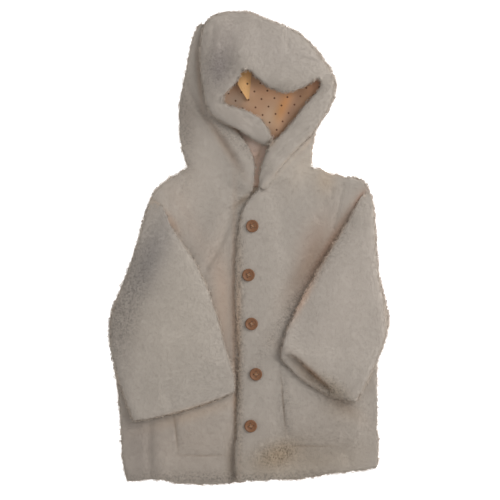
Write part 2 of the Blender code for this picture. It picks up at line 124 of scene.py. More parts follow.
SLEEVE_RIGHT_CREASES = rows_of(Crease, [
    ([(160, 330), (150, 280), (140, 240)], 24, 1.2),
    ([(152, 160), (140, 134), (128, 122)], 7, -1.4),
])
HOOD_TOP_CREASES = rows_of(Crease, [
    ([(-47, 624), (-48.6, 606), (-51.3, 592), (-56, 578)], 4.5, -1.5),
    ([(50, 616), (52.5, 586)], 2.6, -1.4),
    ([(67, 582), (84, 576), (99, 571)], 2.4, 1.0),
    ([(-24, 600), (-30, 570), (-36, 548)], 14, -1.6),
    ([(10, 600), (44, 596), (70, 584)], 22, 1.6),
    ([(-60, 560), (-50, 530), (-36, 512)], 6, 1.0),
])

# How far the hem hangs lower than the CAD cloth, by x: its slack waves.

HEM_WAVES = [(-172, 3), (-150, 2.5), (-134, -3.5), (-116, -2.5), (-96, 3.5), (-74, 3), (-44, 4.5),
             (-10, 1.5), (6, -1), (24, 2), (50, 2.5), (76, 4), (96, 0), (120, -2.5), (140, -1.5),
             (160, 2), (172, 3)]
HEM_REACH = 30               # how far up the cloth the waves reach

# Pocket edges, along which the step down from the pocket to the front is smoothed out.

SOFT_EDGES = {
    "left": [(-104, 162), (-101, 120), (-98, 52), (-89, 39), (-29, 39), (-24, 52), (-21, 123)],
    "right": [(43, 159), (43, 127), (46, 93), (50, 66), (60, 51), (143, 51), (152, 65), (154, 124)],
}
SOFT_REACH = 13              # how far from such an edge the smoothing goes

# Patches are soft ovals of a tint that the cloth's colour is multiplied by. Most are painted light and
# shade: darker where shade falls in creases, grooves, the cuff's mouth and under the sleeves and hood,
# and lighter on lit rims and where shadows are lifted. A few are stains and warmer cloth.

# The left front, shoulder and hood side. Painted shade in the hem's left corner, in the wedge beside
# the placket, at the neck, in the hood side's crease and on its left side. Painted light beside the
# placket, on the ridge by the crease, at the sleeve's start and under the left cuff. Thin darker lines
# run along the pocket's seams.
LEFT_PATCHES = rows_of(Patch, [
    (-36, 240, 78, 15, 92, (1.14, 1.02, 0.94)),
    (-90, 392, 55, 34, 60, (1.15, 1.14, 1.13)),
    (-104, 352, 18, 6, -58, (1.0, 0.84, 0.74), 0.8),
    (-149, 50, 58, 30, 90, (0.8, 0.79, 0.8)),
    (-84, 500, 40, 17, 95, (0.82, 0.8, 0.79)),
    (-25, 30, 34, 7, 90, (0.62, 0.56, 0.5), 0.6),
    (-20, 250, 120, 4, 90, (1.25, 1.1, 0.99), 0.8),
    (-18.5, 90, 80, 3, 91, (0.97, 0.85, 0.75), 0.8),
    (-8, 384, 16, 4.5, 35, (0.66, 0.58, 0.5), 0.8),
    (-92, 428, 16, 9, 0, (0.84, 0.82, 0.8), 0.8),
    (-99, 68, 24, 1.8, 97, (0.84, 0.8, 0.76)),
    (-62, 38, 30, 1.6, 0, (0.92, 0.88, 0.85)),
    (-34, 459, 44, 5.5, -57, (0.88, 0.79, 0.73)),
    (-38, 476, 38, 7, -55, (1.18, 1.18, 1.18)),
    (-78, 93, 64, 8, 17, (1.1, 1.04, 0.98)),
    (-67, 546, 34, 3.5, 95, (1.08, 0.98, 0.9)),
    (-20, 481, 30, 3.5, -35, (0.98, 0.8, 0.7)),
    (-68, 330, 90, 14, -62, (1.03, 0.99, 0.97)),
    (-80, 55, 100, 60, 0, (0.99, 0.955, 0.93)),
])
# The right front, shoulder and hood side. Painted warm shade left of the sleeve, along its armhole
# edge and below the cuff's corner. Painted light under the cuff, beside the placket and on the hood's
# right side, and painted highlights along the lower edge of the rim. There is a yellowish stain near
# the hem, warmer cloth along the hem, and thin darker lines along the pocket's seams.
RIGHT_PATCHES = rows_of(Patch, [
    (80, 297, 58, 14, 59, (0.8, 0.69, 0.62), 0.95),
    (86, 335, 40, 16, 62, (0.98, 0.9, 0.86)),
    (104, 412, 20, 14, 80, (1.16, 1.08, 0.98)),
    (149, 384, 14, 3.5, 58, (0.95, 0.7, 0.6)),
    (38, 40, 30, 16, 22, (1.06, 0.97, 0.83)),
    (74, 28, 86, 24, 5, (0.985, 0.95, 0.89)),
    (46, 108, 36, 1.5, 94.5, (0.74, 0.69, 0.65)),
    (84, 51, 34, 1.5, 0, (0.92, 0.88, 0.85)),
    (-14, 200, 190, 5, 90, (1.0, 0.93, 0.86), 0.8),
    (110, 325, 70, 6, 59, (1.0, 0.82, 0.72), 0.95),
    (94, 138, 60, 9, -41, (1.18, 1.08, 1.0)),
    (-16, 218, 60, 4, 90, (1.2, 1.1, 1.02)),
    (52, 433, 46, 3, 49, (1.14, 1.13, 1.11)),
    (79, 461, 14, 3, 52, (1.16, 1.11, 1.08)),
    (76, 432, 36, 18, 60, (1.25, 1.22, 1.17), 0.8),
    (122, 100, 26, 15, -20, (0.9, 0.87, 0.83), 0.8),
    (90, 66, 90, 44, 0, (0.93, 0.91, 0.895)),
])
# Painted light over the sleeve and along its cuff's edge. Painted shade at its start and down its
# outer side, where the bluish grey oval is partly dirt and partly painted shade.
SLEEVE_LEFT_PATCHES = rows_of(Patch, [
    (-100, 220, 110, 60, 80, (1.08, 1.08, 1.065), 1.0),
    (-74, 103, 72, 4, 17, (1.14, 1.06, 0.99)),
    (-124, 381, 14, 4, -8, (0.84, 0.82, 0.8)),
    (-134, 305, 64, 22, 68, (0.68, 0.69, 0.73)),
    (-172, 190, 55, 20, 95, (0.9, 0.9, 0.91), 0.8),
])
# Painted light over the sleeve and along its lower left edge. Painted warm shade along the armhole
# edge and in the cuff's mouth. The yellowish oval by the cuff is dirt.
SLEEVE_RIGHT_PATCHES = rows_of(Patch, [
    (135, 250, 120, 70, 55, (1.1, 1.095, 1.1), 1.0),
    (108, 318, 66, 4, 59, (1.0, 0.88, 0.79)),
    (73, 250, 34, 5, 62, (1.35, 1.16, 1.05)),
    (87, 149, 30, 4, -43, (0.66, 0.53, 0.44), 0.95),
    (112, 130, 26, 10, -35, (0.94, 0.89, 0.8), 0.8),
    (78, 148, 28, 9, -45, (0.9, 0.82, 0.74), 0.8),
])
# Painted shade on the crown's left and upper left and in some hollows, painted light on its right
# part, and painted highlights along the lower edge of the right rim.
HOOD_PATCHES = rows_of(Patch, [
    (-40, 562, 28, 17, 80, (0.66, 0.65, 0.69)),
    (-32, 605, 38, 20, 60, (0.88, 0.87, 0.88), 0.8),
    (24, 592, 64, 30, -15, (1.07, 1.07, 1.09), 0.8),
    (-14, 492, 44, 13, -28, (0.89, 0.88, 0.88)),
    (50, 534, 60, 9, 8, (0.92, 0.91, 0.9), 0.8),
    (50, 436, 46, 3, 49, (1.18, 1.15, 1.12)),
    (77, 456, 22, 3, 52, (1.15, 1.12, 1.09)),
    (31, 461, 8, 5, 50, (0.86, 0.8, 0.74)),
])
# Painted light on the back where it shows in the deep gap at the neck, which lies in shade.
BACK_PATCHES = [Patch(9, 397, 13, 9, 90, (1.8, 1.65, 1.5), 1.0)]
# Painted light over the facing deep inside the neck, where it lies in shade, with painted shade along
# one line and at its lower part.
NECK_PATCHES = rows_of(Patch, [
    (8, 440, 90, 60, 90, (1.32, 1.12, 1.05), 1.0),
    (12, 408, 26, 9, 90, (0.96, 0.85, 0.77), 0.8),
    (9, 424, 16, 6, 90, (1.35, 1.45, 1.5), 0.8),
    (13, 446, 14, 2.5, 72, (0.78, 0.74, 0.68)),
    (3, 458, 10, 7, 0, (1.12, 1.17, 1.2)),
])

# Soft ovals in which the pile is matted into curls that stand out.

CURLY = rows_of(Curls, [
    (39, 40, 34, 18, 18, 0.95),
    (58, 38, 66, 26, 8, 0.3),
    (50, 100, 50, 7, 94, 0.45),
    (-14, 200, 190, 7, 90, 0.9),
    (-166, 250, 90, 24, 76, 0.8),
    (0, 8, 200, 9, 0, 0.8),
    (112, 128, 34, 14, -35, 0.8),
    (74, 262, 110, 9, 57, 0.7),
    (-45, 562, 34, 22, 80, 0.5),
    (-90, 490, 80, 12, 93, 0.6),
    (-20, 466, 60, 8, -40, 0.6),
    (40, 528, 60, 7, 5, 0.6),
])

# ---------------------------------------------------------------- node trees

class Value:
    """A number in a node tree, so that its maths reads as plain expressions."""

    def __init__(self, nodes, socket):
        self.nodes = nodes
        self.socket = socket

    def maths(self, operation, *terms):
        made = self.nodes.add("ShaderNodeMath", {"operation": operation}, dict(enumerate(terms)))
        return Value(self.nodes, made.outputs[0])

    def __add__(self, other):
        return self.maths("ADD", self, other)

    def __radd__(self, other):
        return self.maths("ADD", other, self)

    def __sub__(self, other):
        return self.maths("SUBTRACT", self, other)

    def __rsub__(self, other):
        return self.maths("SUBTRACT", other, self)

    def __mul__(self, other):
        return self.maths("MULTIPLY", self, other)

    def __rmul__(self, other):
        return self.maths("MULTIPLY", other, self)

    def __neg__(self):
        return self.maths("MULTIPLY", self, -1.0)

    def exp(self):
        return self.maths("EXPONENT", self)

    def root(self):
        return self.maths("SQRT", self)

    def nearest_whole(self):
        return self.maths("ROUND", self)

    def between(self, low, high):
        """0 below low, 1 above high, and a smooth step from one to the other."""
        made = self.nodes.add(
            "ShaderNodeMapRange", {"interpolation_type": "SMOOTHSTEP"},
            {"Value": self, "From Min": low, "From Max": high},
        )
        return Value(self.nodes, made.outputs["Result"])


class Nodes:
    """A node tree, and the one way in which nodes are added to it."""

    def add(self, kind, settings=(), sockets=()):
        """A node of a kind, with its settings and then its sockets' values or links."""
        made = self.tree.nodes.new(kind)
        for name, value in dict(settings).items():
            setattr(made, name, value)
        for key, value in dict(sockets).items():
            self.feed(made.inputs[key], value)
        return made

    def feed(self, target, value):
        """Sets a socket to a number or colour, or links it."""
        if isinstance(value, Value):
            value = value.socket
        if isinstance(value, bpy.types.NodeSocket):
            self.tree.links.new(value, target)
        else:
            target.default_value = value


def out_of_oval(patch, x, y):
    """How far out in a patch's oval places are, squared: 1 on its line."""
    turn = math.radians(patch.turn)
    cosine, sine = math.cos(turn), math.sin(turn)
    x, y = x - patch.x, y - patch.y
    along = (x * cosine + y * sine) * (1 / patch.long)
    across = (y * cosine - x * sine) * (1 / patch.short)
    return along * along + across * across


class Finish(Nodes):
    """One material and the nodes that it is built from."""

    def __init__(self, name):
        self.material = bpy.data.materials.new(name)
        self.material.use_nodes = True
        self.tree = self.material.node_tree
        self.shader = self.tree.nodes["Principled BSDF"]
        self.place = self.add("ShaderNodeTexCoord").outputs["Object"]

    def set(self, **sockets):
        """Constants and links of the Principled shader, by socket name with _ for a space."""
        for name, value in sockets.items():
            self.feed(self.shader.inputs[name.replace("_", " ")], value)

    def axes(self):
        """The place's x and y in the tables' millimetres."""
        split = self.add("ShaderNodeSeparateXYZ", {}, {0: self.place})
        x = Value(self, split.outputs["X"]) * (1 / MM)
        y = Value(self, split.outputs["Y"]) * (1 / MM) - HEM
        return x, y

    def noise(self, size, detail=2.0):
        """Soft noise from 0 to 1 with features of a size in millimetres."""
        made = self.add(
            "ShaderNodeTexNoise", {},
            {"Vector": self.place, "Scale": 1 / (size * MM), "Detail": detail},
        )
        return Value(self, made.outputs["Fac"])

    def mark(self, name):
        """A number that the mesh carries."""
        return Value(self, self.add("ShaderNodeAttribute", {"attribute_name": name}).outputs["Fac"])

    def mix(self, share, first, second, blend="MIX"):
        """Two colours mixed, or blended, by a share from 0 to 1."""
        made = self.add(
            "ShaderNodeMix", {"data_type": "RGBA", "blend_type": blend},
            {0: share, 6: first, 7: second},
        )
        return made.outputs[2]

    def scaled(self, colour, factor):
        """A colour made lighter or darker by a number."""
        grey = self.add("ShaderNodeCombineXYZ", {}, {0: factor, 1: factor, 2: factor})
        return self.mix(1.0, colour, grey.outputs[0], "MULTIPLY")

    def tinted(self, colour, patches):
        x, y = self.axes()
        for patch in patches:
            share = (-out_of_oval(patch, x, y)).exp() * patch.strength
            colour = self.mix(share, colour, (*patch.tint, 1), "MULTIPLY")
        return colour

    def bump(self, height, depth, strength):
        sockets = {"Strength": strength, "Distance": depth, "Height": height}
        return self.add("ShaderNodeBump", {}, sockets).outputs["Normal"]


# ---------------------------------------------------------------- finishes

CURL_SHADE = 0.38            # how much darker matted pile is between its clumps
CURL_LIGHT = 0.3             # how much of that it is lighter all over, so that its tone stays
CLUMP_EDGE = (0.50, 0.38)    # the noise on a clump's top and between clumps
CURL_BUMP = 3.3              # how much higher its clumps are than its finest unevenness
LOOP_TONES = (0.965, 0.05)   # the darkest loop, and how much lighter others are
# painted light: the steep sides of the cloth are made warmer, as if light shone through the pile there
RIM_PAINTED_WARMTH = (1.07, 1.02, 0.97, 1)
FLEECE_LIGHT = (0.537, 0.477, 0.417, 1)
FLEECE_DARK = (0.514, 0.456, 0.398, 1)


def fleece(name, patches=()):
    """Sherpa cloth and its pile: beige grey, mottled, matted in places, with stains, and with light
    and shade painted into its colour in many places.
    """
    finish = Finish(name)
    mottle = finish.noise(34) * 0.6 + finish.noise(7, 3.0) * 0.28 + finish.noise(1.4) * 0.12
    colour = finish.mix(mottle.between(0.32, 0.68), FLEECE_DARK, FLEECE_LIGHT)
    # the patches: painted light and shade, and a few stains
    colour = finish.tinted(colour, patches)
    colour = finish.mix(finish.mark("rim"), colour, RIM_PAINTED_WARMTH, "MULTIPLY")
    matted = finish.mark("matted")
    clumps = finish.noise(CLUMP_SIZE * 0.7, 1.0)
    between_clumps = clumps.between(*CLUMP_EDGE)
    colour = finish.scaled(colour, 1 + (CURL_LIGHT - between_clumps) * matted * CURL_SHADE)
    colour = finish.scaled(colour, finish.mark("loop_shade") * LOOP_TONES[1] + LOOP_TONES[0])
    finish.set(
        Base_Color=colour,
        Roughness=0.95,
        Specular_IOR_Level=0.12,
        Sheen_Weight=0.25,
        Sheen_Roughness=0.5,
        Sheen_Tint=(1.0, 0.98, 0.95, 1),
        Normal=finish.bump(finish.noise(1.4, 3.0) * 0.5 + clumps * matted * CURL_BUMP, 0.0006, 0.3),
    )
    return finish.material


DOT_PITCH = (17.6, 21.6)     # across and along, of each of the two sets of dots
DOT_LEAN = 4.0               # degrees
DOT_SIZE = 1.25              # radius
DOT_EDGE = 0.25              # how far in and out of it a dot fades
DOT_BROWN = (0.125, 0.052, 0.028, 1)

# Painted light and shade on the lining: lighter where the brow's shadow falls and at the right tip, an
# orange lit band along its fold, darker beside the tuck's tip, right of the fold and under the brim,
# and paler, greyer places.
LINING_PATCHES = rows_of(Patch, [
    (-20, 519, 18, 12, 0, (1.02, 1.22, 1.46)),
    (0, 519, 9, 5, 0, (0.92, 0.88, 0.8)),
    (26, 530, 27, 10, -15, (1.66, 1.62, 1.58)),
    (24, 490, 26, 11, 60, (1.2, 1.4, 1.55)),
    (45, 509, 26, 8, 66, (1.06, 0.83, 0.55), 0.95),
    (59, 511, 32, 7, 62, (0.74, 0.74, 0.79)),
    (34, 486, 12, 7, 66, (1.16, 1.26, 1.36)),
    (75, 529, 16, 8, 35, (0.72, 0.68, 0.62)),
    (92, 541, 15, 10, 45, (1.95, 1.85, 1.9)),
])
# Painted light on the fold's top right, which lies in the brow's shadow.
TUCK_PATCHES = [Patch(-3, 548, 12, 6, 80, (1.45, 1.42, 1.42))]


def dotted_cotton(name, shade, light, patches=()):
    """Cotton with small brown dots in offset rows."""
    finish = Finish(name)
    x, y = finish.axes()
    colour = finish.mix(finish.noise(14), (*shade, 1), (*light, 1))
    # painted light and shade on the lining and its fold
    colour = finish.tinted(colour, patches)
    lean = math.radians(DOT_LEAN)
    across = x * math.cos(lean) + y * math.sin(lean)
    along = y * math.cos(lean) - x * math.sin(lean)
    dots = 0.0
    for half in (0.0, 0.5):
        a = across * (1 / DOT_PITCH[0]) + half
        b = along * (1 / DOT_PITCH[1]) + half
        a = (a - a.nearest_whole()) * DOT_PITCH[0]
        b = (b - b.nearest_whole()) * DOT_PITCH[1]
        away = (a * a + b * b).root()
        dots = dots + (1 - away.between(DOT_SIZE - DOT_EDGE, DOT_SIZE + DOT_EDGE))
    colour = finish.mix(dots, colour, DOT_BROWN)
    finish.set(
        Base_Color=colour,
        Roughness=0.85,
        Specular_IOR_Level=0.2,
        Sheen_Weight=0.1,
        Normal=finish.bump(finish.noise(0.5), 0.0001, 0.3),
    )
    return finish.material


def tan_horn():
    """Tan button material, a little mottled."""
    finish = Finish("tan horn")
    colour = finish.mix(finish.noise(3.0, 3.0), (0.205, 0.088, 0.040, 1), (0.30, 0.142, 0.068, 1))
    finish.set(
        Base_Color=colour,
        Roughness=0.5,
        Specular_IOR_Level=0.4,
        Normal=finish.bump(finish.noise(0.8), 0.0001, 0.25),
    )
    return finish.material


def button_thread():
    finish = Finish("button thread")
    colour = finish.mix(finish.noise(0.4), (0.44, 0.25, 0.15, 1), (0.60, 0.39, 0.25, 1))
    finish.set(Base_Color=colour, Roughness=0.8, Specular_IOR_Level=0.2)
    return finish.material


# ---------------------------------------------------------------- meshes

def object_of(name, bm):
    """A new object in the scene, at the origin, that holds a mesh."""
    mesh = bpy.data.meshes.new(name)
    bm.to_mesh(mesh)
    bm.free()
    piece = bpy.data.objects.new(name, mesh)
    bpy.context.scene.collection.objects.link(piece)
    return piece


def settle(piece):
    """Turns a piece's modifiers into plain mesh."""
    depsgraph = bpy.context.evaluated_depsgraph_get()
    mesh = bpy.data.meshes.new_from_object(piece.evaluated_get(depsgraph))
    piece.modifiers.clear()
    old = piece.data
    piece.data = mesh
    bpy.data.meshes.remove(old)
    mesh.name = piece.name
    mesh.shade_smooth()


def skin(bm, rings):
    """Faces round the sides of a stack of rings of vertices, and one over each end."""
    for lower, upper in zip(rings, rings[1:]):
        for k in range(len(lower)):
            after = (k + 1) % len(lower)
            bm.faces.new((lower[k], lower[after], upper[after], upper[k]))
    bm.faces.new(reversed(rings[0]))
    bm.faces.new(rings[-1])


def places(mesh):
    """Vertices in the tables' millimetres."""
    flat = np.empty(len(mesh.vertices) * 3, np.float32)
    mesh.vertices.foreach_get("co", flat)
    found = flat.reshape(-1, 3).astype(float) / MM
    found[:, 1] -= HEM
    return found


def move_to(mesh, found):
    """Puts the vertices at places given in the tables' millimetres."""
    back = found.copy()
    back[:, 1] += HEM
    mesh.vertices.foreach_set("co", (back * MM).astype(np.float32).ravel())
    mesh.update()


def outward(mesh):
    """Vertex normals."""
    flat = np.empty(len(mesh.vertices) * 3, np.float32)
    mesh.vertex_normals.foreach_get("vector", flat)
    return flat.reshape(-1, 3).astype(float)


def tree_of(pieces):
    """A search tree over the faces of some pieces, in the tables' millimetres."""
    corners, faces = [], []
    for piece in pieces:
        first = len(corners)
        corners.extend(map(tuple, places(piece.data)))
        faces.extend([[first + v for v in face.vertices] for face in piece.data.polygons])
    return BVHTree.FromPolygons(corners, faces)


ABOVE_ALL = 500.0            # the height that rays are cast down from
UPPER_SKIN = 1.0             # how deep under the upper side a place still belongs to it


class HeightMap:
    """Heights of the upper side of some pieces on a square grid, 0 where there is nothing."""

    def __init__(self, pieces):
        tree = tree_of(pieces)
        spots = np.concatenate([places(piece.data)[:, :2] for piece in pieces])
        margin = SEAM_REACH * 2
        self.low = spots.min(axis=0) - margin
        self.counts = np.ceil((spots.max(axis=0) + margin - self.low) / MAP_STEP).astype(int) + 1
        self.heights = np.zeros(self.counts)
        down = Vector((0, 0, -1))
        for i in range(self.counts[0]):
            for j in range(self.counts[1]):
                spot = (self.low[0] + i * MAP_STEP, self.low[1] + j * MAP_STEP, ABOVE_ALL)
                hit = tree.ray_cast(Vector(spot), down)[0]
                if hit:
                    self.heights[i, j] = hit.z

    def spread(self, heights, reach, pick):
        """Every height replaced by the highest or lowest within reach."""
        cells = int(reach / MAP_STEP)
        grown = heights
        for i in range(-cells, cells + 1):
            for j in range(-cells, cells + 1):
                if i * i + j * j <= cells * cells:
                    grown = pick(grown, np.roll(heights, (i, j), axis=(0, 1)))
        return grown

    def closed(self, reach):
        """Heights with the grooves narrower than twice the reach filled."""
        return self.spread(self.spread(self.heights, reach, np.maximum), reach, np.minimum)

    def read(self, spots, heights=None):
        """Heights at places, straight between the grid's points."""
        h = self.heights if heights is None else heights
        cell = np.clip((spots[:, :2] - self.low) / MAP_STEP, 0, self.counts - 1.001)
        i, j = cell.astype(int).T
        a, b = (cell - cell.astype(int)).T
        return (
            h[i, j] * (1 - a) * (1 - b) + h[i + 1, j] * a * (1 - b)
            + h[i, j + 1] * (1 - a) * b + h[i + 1, j + 1] * a * b
        )


# ---------------------------------------------------------------- shells of cloth

def rounded(name, nodes):
    """A piece over copies of CAD nodes, whose triangles are welded and paired, then rounded."""
    bm = bmesh.new()
    for node in nodes:
        bm.from_mesh(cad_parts[node].data)
    bmesh.ops.remove_doubles(bm, verts=bm.verts, dist=WELD)
    bmesh.ops.join_triangles(bm, faces=bm.faces, angle_face_threshold=math.radians(50),
                             angle_shape_threshold=math.radians(60))
    piece = object_of(name, bm)
    rounding = piece.modifiers.new("rounding", "SUBSURF")
    rounding.levels = rounding.render_levels = 2
    settle(piece)
    return piece


def remesh(piece, grain):
    even = piece.modifiers.new("even mesh", "REMESH")
    even.mode = "VOXEL"
    even.voxel_size = grain
    settle(piece)


def add_roll(bm, bridge):
    """A capsule of cloth along a line, in world metres."""
    run = math.hypot(bridge.x1 - bridge.x0, bridge.y1 - bridge.y0)
    made = bmesh.ops.create_uvsphere(bm, u_segments=16, v_segments=12, radius=bridge.radius)["verts"]
    way = ((bridge.x1 - bridge.x0) / run, (bridge.y1 - bridge.y0) / run)
    for vertex in made:
        ahead = vertex.co.x * way[0] + vertex.co.y * way[1]
        reach = run if ahead > 0 else 0.0
        x = bridge.x0 + vertex.co.x + way[0] * reach
        y = bridge.y0 + vertex.co.y + way[1] * reach
        vertex.co = (x * MM, (y + HEM) * MM, (bridge.z + vertex.co.z) * MM)


def shell(name, plan):
    """Cloth over some CAD nodes: their forms rounded, joined and meshed evenly."""
    piece = rounded(f"cloth_{name}", plan.nodes)
    if name in BRIDGES:
        bm = bmesh.new()
        bm.from_mesh(piece.data)
        for bridge in BRIDGES[name]:
            add_roll(bm, bridge)
        bm.to_mesh(piece.data)
        bm.free()
    remesh(piece, plan.grain)
    if len(plan.nodes) > 1 or name in BRIDGES:
        level_seams(piece)
        remesh(piece, plan.grain)
    smooth = piece.modifiers.new("soft", "SMOOTH")
    smooth.factor = 0.5
    smooth.iterations = 2
    settle(piece)
    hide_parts(*plan.nodes)
    return piece


def upper_lift(ground, found, level):
    """How far places on the upper side are below a level, and 0 for places under it."""
    upper = ground.read(found)
    lift = ground.read(found, level) - upper
    lift[found[:, 2] < upper - UPPER_SKIN] = 0
    return lift


SEAM_FILL = 0.9              # how much of a seam's groove is filled


def level_seams(piece):
    """Fills the grooves between joined pieces of cloth, down to a shallow line along each seam."""
    ground = HeightMap([piece])
    found = places(piece.data)
    lift = upper_lift(ground, found, ground.closed(SEAM_REACH))
    found[:, 2] += np.clip(lift, 0, None) * SEAM_FILL
    move_to(piece.data, found)


FADE = 1.5                   # how far in from its ends a path fades, in its widths
END_SHARE = 0.25             # how much of it is left there


def near_path(found, path, width):
    """How near places are to a path, from 0 to 1 on it, fading out at its ends."""
    path = np.array(path, dtype=float)
    runs = np.linalg.norm(np.diff(path, axis=0), axis=1)
    nearest = np.full(len(found), 1e9)
    along = np.zeros(len(found))
    for k, run in enumerate(runs):
        way = (path[k + 1] - path[k]) / run
        there = np.clip((found[:, :2] - path[k]) @ way, 0, run)
        away = np.linalg.norm(found[:, :2] - path[k] - there[:, None] * way, axis=1)
        closer = away < nearest
        nearest = np.where(closer, away, nearest)
        along = np.where(closer, runs[:k].sum() + there, along)
    ends = np.minimum(along, runs.sum() - along) / (width * FADE)
    kept = END_SHARE + (1 - END_SHARE) * np.clip(ends, 0, 1)
    return kept * np.exp(-((nearest / width) ** 2))


BLUR = (-3, -1, 1, 3)        # the cells away whose heights are averaged
BLUR_ROUNDS = 3


def soften_edge(piece, path):
    """Turns the step along a path into a gentle slope."""
    ground = HeightMap([piece])
    smooth = ground.heights
    for _ in range(BLUR_ROUNDS):
        total = np.zeros_like(smooth)
        for i in BLUR:
            for j in BLUR:
                total += np.roll(smooth, (i, j), axis=(0, 1))
        smooth = total / len(BLUR) ** 2
    found = places(piece.data)
    share = near_path(found, path, SOFT_REACH)
    found[:, 2] += upper_lift(ground, found, smooth) * share
    move_to(piece.data, found)


def fold(piece, creases):
    """Raises or sinks the upper side of a piece along its creases."""
    found = places(piece.data)
    up = np.clip(outward(piece.data)[:, 2] * 2, 0, 1)
    lift = np.zeros(len(found))
    for crease in creases:
        lift += crease.rise * near_path(found, crease.path, crease.width)
    found[:, 2] += lift * up
    move_to(piece.data, found)


def wave_hem(piece):
    found = places(piece.data)
    x, drop = np.array(HEM_WAVES).T
    share = np.clip(1 - found[:, 1] / HEM_REACH, 0, 1) ** 2
    found[:, 1] -= np.interp(found[:, 0], x, drop) * share
    move_to(piece.data, found)


PRESSED_CLEAR = 1.2          # how far above the ground flattened cloth stays


def press(piece, ground, plan):
    """Flattens a piece towards the ground under it: most at its start, and more along an edge."""
    found = places(piece.data)
    under = ground.read(found, ground.closed(SEAM_REACH))
    above = np.clip(found[:, 2] - under, 0, None)
    away = np.clip(np.linalg.norm(found[:, :2] - plan.start, axis=1) / plan.reach, 0, 1)
    kept = plan.lowest + (1 - plan.lowest) * away * away * (3 - 2 * away)
    kept = kept * (1 - plan.loss * near_path(found, plan.edge, plan.width))
    found[:, 2] += PRESSED_CLEAR * (1 - kept) - above * (1 - kept)
    move_to(piece.data, found)


TURNED_UNDER = 2.0           # how high above the table an edge ends that is turned under
BARE_TABLE = 0.5             # ground lower than this is the table


def turn_under(piece, below):
    """Brings the underside down to the table where the cloth lies on nothing, which closes the gap."""
    found = places(piece.data)
    ground = HeightMap(below).read(found)
    loose = (outward(piece.data)[:, 2] < 0) & (ground < BARE_TABLE)
    found[loose, 2] = np.minimum(found[loose, 2], TURNED_UNDER)
    move_to(piece.data, found)


def marked(piece, name, values):
    mark = piece.data.attributes.new(name, "FLOAT", "POINT")
    mark.data.foreach_set("value", values.astype(np.float32))


RIM_FROM = 0.80              # how far up a normal points where the rim begins
RIM_STEP = 0.6               # and how much less where it is full


def mark_curls(piece):
    """Marks how curly the pile is: where it is matted, and at the sides and edges of the cloth."""
    found = places(piece.data)
    rim = np.clip((RIM_FROM - outward(piece.data)[:, 2]) / RIM_STEP, 0, 1)
    # the steep sides: the pile curls there, and the fleece finish paints warm light on them
    marked(piece, "rim", rim)
    matted = np.zeros(len(found))
    for patch in CURLY:
        out = out_of_oval(patch, found[:, 0], found[:, 1])
        matted = np.maximum(matted, patch.strength * np.exp(-out))
    marked(piece, "matted", matted)
    curl = np.maximum(rim, matted)
    marked(piece, "curl", curl)
    return curl


def lump(piece):
    """Uneven cloth with clumps of pile: two sizes of lumps along the normals."""
    curl = mark_curls(piece)
    found = places(piece.data)
    normals = outward(piece.data)
    shift = np.empty(len(found))
    for k, spot in enumerate(found):
        at = Vector(spot)
        clump = CLUMP_HEIGHT[0] + (CLUMP_HEIGHT[1] - CLUMP_HEIGHT[0]) * curl[k]
        shift[k] = LUMP_HEIGHT * noise.noise(at / LUMP_SIZE) + clump * noise.noise(at / CLUMP_SIZE)
    found += normals * shift[:, None]
    found[:, 2] = np.maximum(found[:, 2], LOWEST)
    move_to(piece.data, found)


TUCK_RISE = 5.0              # how high the left side of the lining's fold stands
TUCK_THICK = 0.5
TUCK_SUNK = 0.3              # how deep its underside lies in the lining


def wedge(name, rows, ground, rise, cells=4):
    """A flat fold of cotton, from rows of its left and right edge: its left side stands up."""
    bm = bmesh.new()
    layers = []
    for lifted in (False, True):
        layer = []
        for x0, y0, x1, y1 in rows:
            line = []
            for k in range(cells + 1):
                share = k / cells
                x, y = x0 + (x1 - x0) * share, y0 + (y1 - y0) * share
                z = float(ground.read(np.array([[x, y]]))[0]) - TUCK_SUNK
                z += TUCK_THICK + rise * (1 - share) if lifted else 0.0
                line.append(bm.verts.new((x * MM, (y + HEM) * MM, z * MM)))
            layer.append(line)
        layers.append(layer)
    lower, upper = layers
    for i in range(len(rows) - 1):
        for k in range(cells):
            bm.faces.new((lower[i][k], lower[i][k + 1], lower[i + 1][k + 1], lower[i + 1][k]))
            bm.faces.new((upper[i][k], upper[i + 1][k], upper[i + 1][k + 1], upper[i][k + 1]))
        for k in (0, cells):
            bm.faces.new((lower[i][k], lower[i + 1][k], upper[i + 1][k], upper[i][k]))
    for i in (0, len(rows) - 1):
        for k in range(cells):
            bm.faces.new((lower[i][k], lower[i][k + 1], upper[i][k + 1], upper[i][k]))
    bmesh.ops.recalc_face_normals(bm, faces=bm.faces)
    return object_of(name, bm)


# ---------------------------------------------------------------- pile

LOOPS = 260000.0             # loops a square metre of smooth pile
LOOPS_MORE = 0.7             # how many more of them curly pile has, as a share
LOOPS_LARGER = 0.35          # and how much larger they are
LOOP_RADIUS = 0.0014
LOOP_WIDTH = 0.0005
LOOP_SIZES = (0.6, 1.25)
LOOP_SWEEP = 230             # degrees of a circle that a loop goes round
LOOP_CONE = 22.0             # degrees that a loop's strand leans out, like the wall of a bowl
LOOP_LIFT = (0.10, 0.65)     # how high a loop's middle stands, in its radius: smooth and curly pile
LOOP_TILT = (0.25, 1.10)     # how far it leans at most, in radians
LOOP_RELIEF = (0.10, 0.45)   # how much of its own shading it keeps beside the cloth's
LOOP_SHADES = (0.2, 1.0)     # the number for its tone that each loop draws
SHADE_SEED = 7
LIGHT_THROUGH = 0.8          # how much steep pile is lit from above too, as light goes through it
FACING_UP = 3.0              # how much more up than out of the cloth a strand has to face


